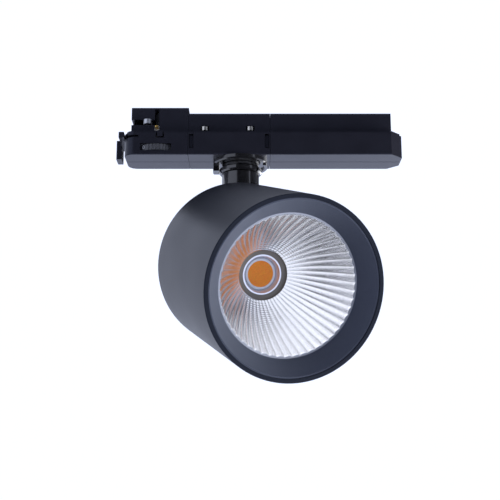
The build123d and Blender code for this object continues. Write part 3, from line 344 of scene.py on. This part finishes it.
def gloss_lacquer(name, colour, roughness, coat):
    material, tree, place = new_material(name)
    ripple = add(tree, "ShaderNodeTexNoise", {"Vector": place, "Scale": per_metre(RIPPLE_MM),
                                              "Detail": 1.0})
    rough = add(tree, "ShaderNodeMapRange", {"Value": ripple.outputs["Fac"],
                                             "To Min": roughness * 0.8, "To Max": roughness * 1.3})
    bump = add(tree, "ShaderNodeBump", {"Height": ripple.outputs["Fac"], "Strength": 0.15,
                                        "Distance": 0.03 * MM})
    shader = add(tree, "ShaderNodeBsdfPrincipled", {
        "Base Color": linear(colour), "Roughness": rough.outputs["Result"], "IOR": 1.5,
        "Coat Weight": coat, "Coat Roughness": 0.08, "Normal": bump.outputs["Normal"]})
    finish_material(tree, shader)
    return material


wear_paint(["swivel_ring", "slip_washer", "collar_nut", "neck"],
           gloss_lacquer("acrylic_lacquer_gloss", "0c0c0e", 0.2, 0.6))

# %% [markdown]
# ## Trim ring
#
# The cone between the rim and the reflector is pressed aluminium with a satin
# dark coat. It is smoother and paler than the head's powder, so it shows which
# way each part of the cone faces.

# %% Satin coat
trim_coat = powder_coat("satin_coat_dark", "292c35", "343842", 0.3, 0.34, 0.012,
                        glint="c8d0ec", ior=1.45)
wear_paint(["trim_ring"], trim_coat)


# %% [markdown]
# ## Metals
#
# Bare metals keep the default IOR and a full metallic value. What sets them
# apart is colour and how they were worked: zinc plating is blotchy, rolled
# spring strip is finely drawn, cast aluminium is grainy and dull.

# %% Worked metal
PATCH_MM = 4            # blotches of plating or oxide


def worked_metal(name, colour, roughness, stretch=(1, 1, 1), grain_mm=0.4, depth_mm=0.01):
    material, tree, place = new_material(name)
    laid = add(tree, "ShaderNodeMapping", {"Vector": place, "Scale": stretch})
    grain = add(tree, "ShaderNodeTexNoise", {"Vector": laid.outputs["Vector"],
                                             "Scale": per_metre(grain_mm), "Detail": 4.0})
    patch = add(tree, "ShaderNodeTexNoise", {"Vector": place, "Scale": per_metre(PATCH_MM),
                                             "Detail": 2.0})
    tint = add(tree, "ShaderNodeMixRGB", {"Fac": patch.outputs["Fac"],
                                          "Color1": shade(colour, 0.85),
                                          "Color2": shade(colour, 1.1)})
    rough = add(tree, "ShaderNodeMapRange", {"Value": grain.outputs["Fac"],
                                             "To Min": roughness * 0.8, "To Max": roughness * 1.25})
    bump = add(tree, "ShaderNodeBump", {"Height": grain.outputs["Fac"], "Strength": 0.3,
                                        "Distance": depth_mm * MM})
    shader = add(tree, "ShaderNodeBsdfPrincipled", {
        "Base Color": tint.outputs["Color"], "Metallic": 1.0,
        "Roughness": rough.outputs["Result"], "Normal": bump.outputs["Normal"]})
    finish_material(tree, shader)
    return material


wear_paint(["lid_screws", "stop_post", "stop_washer", "top_nut", "arm_screws", "tilt_screws",
            "friction_washers", "cover_screws", "holder_screws", "sink_screws",
            "bracket_screws", "tilt_bracket", "lock_cam"],
           worked_metal("steel_zinc_plated", "a8aaae", 0.33))
wear_paint(["earth_contacts", "lock_detent", "wave_washer"],
           worked_metal("spring_steel_rolled", "b4b2ac", 0.26, stretch=(0.1, 1, 1)))
wear_paint(["neutral_contacts", "phase_blade"],
           worked_metal("brass_stamped", "d1ae62", 0.28, stretch=(0.2, 1, 1)))
wear_paint(["heat_sink"], worked_metal("aluminium_die_cast", "b6b8bc", 0.5, grain_mm=0.6,
                                       depth_mm=0.05))
wear_paint(["capacitors"], worked_metal("aluminium_drawn", "b9bcc2", 0.35,
                                        stretch=(1, 1, 0.1)))

# %% [markdown]
# ## Electronics and rubber
#
# The driver's board is glass epoxy under green solder mask, the transformer a
# sintered ferrite core, and the leads and the grommet are soft rubber. They are
# inside the casings, but they show when the lamp is opened.

# %% Board, ferrite and rubber
wear_paint(["driver_board"], moulded_plastic("glass_epoxy_solder_mask", "23492f", 0.6, 0.3))
wear_paint(["transformer"], moulded_plastic("ferrite_sintered", "2c2c31", 0.3, 0.55,
                                            depth_mm=0.04))
wear_paint(["feed_cable", "stem_cable", "lamp_cable"],
           moulded_plastic("rubber_extruded", "1b1b1d", 0.4, 0.55, depth_mm=0.03))
wear_paint(["cable_grommet"], moulded_plastic("rubber_moulded", "161617", 0.5, 0.6))
wear_paint(["thermal_pad"], moulded_plastic("silicone_filled_pad", "8a8d91", 0.3, 0.7))

# %% [markdown]
# ## Light source
#
# The light source is a chip-on-board disc: blue chips under silicone that is
# filled with phosphor powder, inside a low white dam on a pale ceramic board.
# Unlit, the phosphor is a saturated orange. The silicone skin gives it a soft
# gloss, and light that enters it comes out a little deeper in colour.

# %% Phosphor and ceramic
def phosphor_silicone():
    material, tree, place = new_material("silicone_with_phosphor")
    powder = add(tree, "ShaderNodeTexNoise", {"Vector": place, "Scale": per_metre(0.5),
                                              "Detail": 3.0})
    chips = add(tree, "ShaderNodeTexVoronoi", {"Vector": place, "Scale": per_metre(1.3)})
    powdery = ramp(tree, powder.outputs["Fac"], [(0.3, "d97a0a"), (0.7, "ea8a16")])
    colour = add(tree, "ShaderNodeMixRGB", {"Fac": 0.12, "Color1": powdery,
                                            "Color2": chips.outputs["Color"]},
                 blend_type="SOFT_LIGHT")
    bump = add(tree, "ShaderNodeBump", {"Height": powder.outputs["Fac"], "Strength": 0.1,
                                        "Distance": 0.02 * MM})
    shader = add(tree, "ShaderNodeBsdfPrincipled", {
        "Base Color": colour.outputs["Color"], "Roughness": 0.38, "IOR": 1.41,
        "Subsurface Weight": 0.25, "Subsurface Scale": 0.4 * MM,
        "Subsurface Radius": (1.0, 0.5, 0.2), "Normal": bump.outputs["Normal"]})
    finish_material(tree, shader)
    return material


wear_paint(["led_phosphor"], phosphor_silicone())
wear_paint(["led_board"], moulded_plastic("alumina_ceramic", "c9ccd4", 0.4, 0.35))


# %% [markdown]
# ## Mirror finish
#
# The reflector is moulded plastic with aluminium evaporated on it in a vacuum.
# The film is a near perfect mirror, so all of its look comes from the shape and
# from what stands around it. A trace of roughness blends the smallest facets.
# The brim's flat face is painted dull grey instead of mirror, a painted shade
# that keeps the bright ring at the mouth dark. The cone round the light is
# chromium plated, and duller.

# %% Evaporated aluminium
HAZE_MM = 8             # where the film is a trace duller


def evaporated_aluminium(name, colour, roughness):
    material, tree, place = new_material(name)
    haze = add(tree, "ShaderNodeTexNoise", {"Vector": place, "Scale": per_metre(HAZE_MM),
                                            "Detail": 2.0})
    rough = add(tree, "ShaderNodeMapRange", {"Value": haze.outputs["Fac"],
                                             "To Min": roughness * 0.7, "To Max": roughness * 1.3})
    shader = add(tree, "ShaderNodeBsdfPrincipled", {
        "Base Color": linear(colour), "Metallic": 1.0, "Roughness": rough.outputs["Result"]})
    finish_material(tree, shader)
    return material


mirror = evaporated_aluminium("aluminium_evaporated", "f6f5f3", 0.06)
wear_paint(["light_cone"], evaporated_aluminium("chromium_plated", "dcdfe8", 0.32))

# dull grey for the brim's flat face instead of mirror: painted shade
brim_painted_shade = moulded_plastic("brim_painted_shade_grey", "6c707b", 0.3, 0.35)

# %% [markdown]
# ## Fluted reflector
#
# The bowl is a parabola turned about the axis. Its wall is moulded into 54
# flutes that run from the light to the mouth, and each flute is stepped into
# small pillows, which break the image of the light into an even beam. It could
# be a smooth bowl with a bump, but the sparkle is the shape itself. So it
# starts as a circle at the small end whose outline is scalloped, and is
# extruded ring by ring, each ring scaled to the parabola.

# %% Sizes of the bowl
BOWL_R = 35.0 * MM
BOWL_END_R = 13.9 * MM
FLUTES = 54
COLUMNS = 6             # faces across one flute
STEPS = 30              # pillows along one flute
FLUTE_RISE = 0.42 * MM / BOWL_R     # height of a flute, as a share of the radius
PILLOW_RISE = 0.09 * MM
LIP = 0.3 * MM          # plain ring at the mouth
LIP_FLARE = 0.3 * MM    # how far the lip opens
WALL = 1.0 * MM
SAME = 1e-6             # points this near in height are on one ring
inward = head_place(0).inverted()
heights = [(inward @ v.co).z for v in nodes["reflector"].data.vertices]
spreads = [(inward @ v.co).xy.length for v in nodes["reflector"].data.vertices]
bowl_floor, bowl_mouth, brim_r = min(heights), max(heights), max(spreads)
BOWL_HEIGHT = bowl_mouth - bowl_floor - LIP
print("bowl height", round(BOWL_HEIGHT / MM, 2), "mm, brim radius", round(brim_r / MM, 2), "mm")


def bowl_radius(height):
    """Radius of the parabola at a height above its small end."""
    spread = BOWL_R ** 2 - BOWL_END_R ** 2
    return math.sqrt(BOWL_END_R ** 2 + spread * height / BOWL_HEIGHT)


# %% Scalloped ring at the small end
def column_of(point):
    """Which of the columns of its flute a point stands on, from its angle."""
    turn = math.atan2(point.co.y, point.co.x) / math.tau * FLUTES * COLUMNS
    return round(turn) % COLUMNS


def scale_columns(piece, height, sign):
    """Pushes the middle of each flute in (sign 1) or back out (sign -1)."""
    for column in range(1, COLUMNS):
        across_flute = 2 * column / COLUMNS - 1
        factor = (1 - FLUTE_RISE * (1 - across_flute ** 2)) ** sign
        select_points(piece, lambda p: abs(p.co.z - height) < SAME and column_of(p) == column)
        bpy.ops.transform.resize(value=(factor, factor, 1), center_override=(0, 0, 0))


clear_selection()
bpy.ops.mesh.primitive_circle_add(vertices=FLUTES * COLUMNS, radius=BOWL_END_R)
bowl = bpy.context.object
bowl.name = "fluted_reflector"
start_editing(bowl)
scale_columns(bowl, 0.0, 1)
bpy.ops.mesh.select_all(action="SELECT")
print("ring of", FLUTES, "flutes")

# %% Rings up to the mouth
RINGS = 2 * STEPS       # each pillow has a crest ring and a valley ring
radius = BOWL_END_R
valleys = [0.0]
for ring in range(1, RINGS + 1):
    height = BOWL_HEIGHT * ring / RINGS
    crest = ring % 2 == 1
    wanted = bowl_radius(height) - (PILLOW_RISE if crest else 0)
    bpy.ops.mesh.extrude_edges_move(TRANSFORM_OT_translate={"value": (0, 0, BOWL_HEIGHT / RINGS)})
    factor = wanted / radius
    bpy.ops.transform.resize(value=(factor, factor, 1), center_override=(0, 0, 0))
    radius = wanted
    if not crest:
        valleys.append(height)
print(RINGS, "rings")

# %% Plain lip and brim
bpy.ops.mesh.extrude_edges_move(TRANSFORM_OT_translate={"value": (0, 0, LIP * 0.5)})
scale_columns(bowl, BOWL_HEIGHT + LIP * 0.5, -1)
select_points(bowl, lambda p: abs(p.co.z - BOWL_HEIGHT - LIP * 0.5) < SAME)
bpy.ops.mesh.extrude_edges_move(TRANSFORM_OT_translate={"value": (0, 0, LIP * 0.5)})
factor = 1 + LIP_FLARE / BOWL_R
bpy.ops.transform.resize(value=(factor, factor, 1), center_override=(0, 0, 0))
bpy.ops.mesh.extrude_edges_move(TRANSFORM_OT_translate={"value": (0, 0, 0)})
factor = brim_r / (BOWL_R * factor)
bpy.ops.transform.resize(value=(factor, factor, 1), center_override=(0, 0, 0))


# %% Sharp valleys, wall and place
def in_valley(edge):
    """True for an edge between two flutes or between two pillows."""
    first, second = edge.verts
    if max(first.co.z, second.co.z) > BOWL_HEIGHT + SAME:
        return False
    if abs(first.co.z - second.co.z) < SAME:
        return any(abs(first.co.z - height) < SAME for height in valleys)
    return column_of(first) == 0 and column_of(second) == 0


bpy.ops.mesh.select_mode(type="EDGE")
bpy.ops.mesh.select_all(action="SELECT")
bpy.ops.mesh.normals_make_consistent(inside=True)
select_edges(bowl, in_valley)
bpy.ops.mesh.mark_sharp()
stop_editing()
bpy.ops.object.shade_smooth()
wall = bowl.modifiers.new("wall", "SOLIDIFY")
wall.thickness = WALL
wall.offset = -1
bpy.ops.object.modifier_apply(modifier="wall")
bowl.data.materials.append(mirror)
bowl.data.materials.append(brim_painted_shade)
# the brim's flat faces get the painted shade grey
for face in bowl.data.polygons:
    if face.center.z > BOWL_HEIGHT + LIP * 0.9 and abs(face.normal.z) > 0.9:
        face.material_index = 1
settle(bowl, head_place(bowl_floor), "head")
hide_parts("reflector")

# %% [markdown]
# ## Figures on the phase wheel
#
# The wheel picks the track's circuit, so its rim carries the figures 0 to 3,
# printed in pale ink and standing a hair proud. Text is a curve object in
# Blender: it is extruded, turned into a mesh and set against the rim.

# %% Raised figures
FIGURE_HEIGHT = 2.1 * MM
FIGURE_RISE = 0.1 * MM
FIGURE_SHARE = 0.7      # a figure's height as a share of the text size
FIGURE_ANGLES = (240, 330, 60, 150)
figure_ink = moulded_plastic("printing_ink_pale", "a9abb0", 0.3, 0.5)
low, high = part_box("phase_dial")
wheel_joint = next(j for j in frame["joints"] if j["name"] == "phase_select")
wheel_x, wheel_y, wheel_z = wheel_joint["pos_m"]
wheel_r = (high.x - low.x) / 2
for figure, angle in enumerate(FIGURE_ANGLES):
    clear_selection()
    bpy.ops.object.text_add()
    text = bpy.context.object
    text.data.body = str(figure)
    text.data.size = FIGURE_HEIGHT / FIGURE_SHARE
    text.data.align_x = "CENTER"
    text.data.align_y = "CENTER"
    text.data.extrude = FIGURE_RISE
    text.data.resolution_u = 3
    bpy.ops.object.convert(target="MESH")
    piece = bpy.context.object
    piece.name = f"figure_{figure}"
    turn = math.radians(angle)
    rim = Vector((wheel_x + wheel_r * math.cos(turn), wheel_y + wheel_r * math.sin(turn), wheel_z))
    upright = Matrix.Rotation(turn + math.pi / 2, 4, "Z") @ Matrix.Rotation(math.pi / 2, 4, "X")
    piece.data.materials.clear()
    piece.data.materials.append(figure_ink)
    settle(piece, Matrix.Translation(rim) @ upright, "phase_dial")

# %% [markdown]
# ## Studio
#
# A dark lamp on white is drawn by what it reflects, so the room is bright all
# round, and black cards keep some faces deep. The camera doesn't see them and
# they cast no shadow. One is high in front for the adapter, one low in front on
# the left for contrast in the bowl, one on the right for the neck, and one above
# stands for the track, which isn't part of the lamp. The floor is well below,
# as under a ceiling, so that the lamp can be looked at from below.

# %% Floor and cards
FLOOR_Z = cad_box[0][2] - 1.0
FLOOR_SIZE = 12.0
RAIL_Z = cad_box[1][2] + 0.02
UPRIGHT = (math.radians(90), 0, 0)
SIDEWAYS = (0, math.radians(-90), 0)
LEVEL = (0, 0, 0)
BLACK_CARDS = {         # centre, size and turn
    "black_card_front": ((0.75, -1.4, 0.48), (2.6, 0.8), UPRIGHT),
    "black_card_rail": ((0.06, 0.31, RAIL_Z), (0.3, 0.6), LEVEL),
    "black_card_low": ((-0.55, -1.2, -0.3), (0.7, 0.45), UPRIGHT),
    "black_card_right": ((1.4, -0.1, 0.25), (1.6, 1.2), SIDEWAYS)}
MATT = 0.9


def plain_card(name, centre, size, turn, colour, roughness):
    """A flat card of the studio, which is not part of the lamp."""
    clear_selection()
    bpy.ops.mesh.primitive_plane_add(size=1, location=centre, rotation=turn)
    card = bpy.context.object
    card.name = name
    card.scale = (size[0], size[1], 1)
    material = bpy.data.materials.new(name)
    material.use_nodes = True
    shader = material.node_tree.nodes["Principled BSDF"]
    shader.inputs["Base Color"].default_value = linear(colour)
    shader.inputs["Roughness"].default_value = roughness
    card.data.materials.append(material)
    return card


plain_card("floor", (0, 0, FLOOR_Z), (FLOOR_SIZE, FLOOR_SIZE), LEVEL, "dcdfe8", MATT)
for name, (centre, size, turn) in BLACK_CARDS.items():
    card = plain_card(name, centre, size, turn, "050505", MATT)
    card.visible_camera = False
    card.visible_shadow = False
print("floor at", round(FLOOR_Z, 3), "m")

# %% [markdown]
# ## Light
#
# The room's light is white where it is seen directly, but it holds more blue
# than the screen can show, and dark finishes reflect that blue. Three soft boxes
# add shape: one behind, one low under the lamp, and a key on the right that
# reaches into the trim ring. The key doesn't show in reflections, because it
# would be a hard square in the bowl.

# %% Room and lights
ROOM_STRENGTH = 1.3
ROOM_TINT = (1 / ROOM_STRENGTH, 1.07 / ROOM_STRENGTH, 1, 1)
LAMP_MIDDLE = (0, 0, -0.09)
LOW_LIGHT_Z = cad_box[0][2] - 0.14
world = bpy.data.worlds.new("white_room")
world.use_nodes = True
world.node_tree.nodes["Background"].inputs["Color"].default_value = ROOM_TINT
world.node_tree.nodes["Background"].inputs["Strength"].default_value = ROOM_STRENGTH
bpy.context.scene.world = world
bpy.context.scene.view_settings.view_transform = "Standard"


def soft_box(name, place, target, size, power):
    """A rectangular light of some watts, hidden from the camera, that faces a target."""
    data = bpy.data.lights.new(name, "AREA")
    data.shape = "RECTANGLE"
    data.size, data.size_y = size
    data.energy = power
    box = bpy.data.objects.new(name, data)
    box.location = place
    way = Vector(target) - Vector(place)
    box.rotation_euler = way.to_track_quat("-Z", "Y").to_euler()
    box.visible_camera = False
    bpy.context.scene.collection.objects.link(box)
    return box


soft_box("soft_box_back", (0.75, 0.95, -0.25), LAMP_MIDDLE, (0.8, 0.8), 8)
key = soft_box("soft_box_key", (0.95, -0.2, -0.45), LAMP_MIDDLE, (0.5, 0.5), 34)
key.visible_glossy = False
soft_box("soft_box_floor", (0.1, -0.4, LOW_LIGHT_Z), (0.1, -0.4, 1), (1.6, 1.2), 2)
print("lights ready")

# %% [markdown]
# ## Update
#
# The view layer is brought up to date, so that every piece stands where it
# rides.

# %% Update
bpy.context.view_layer.update()
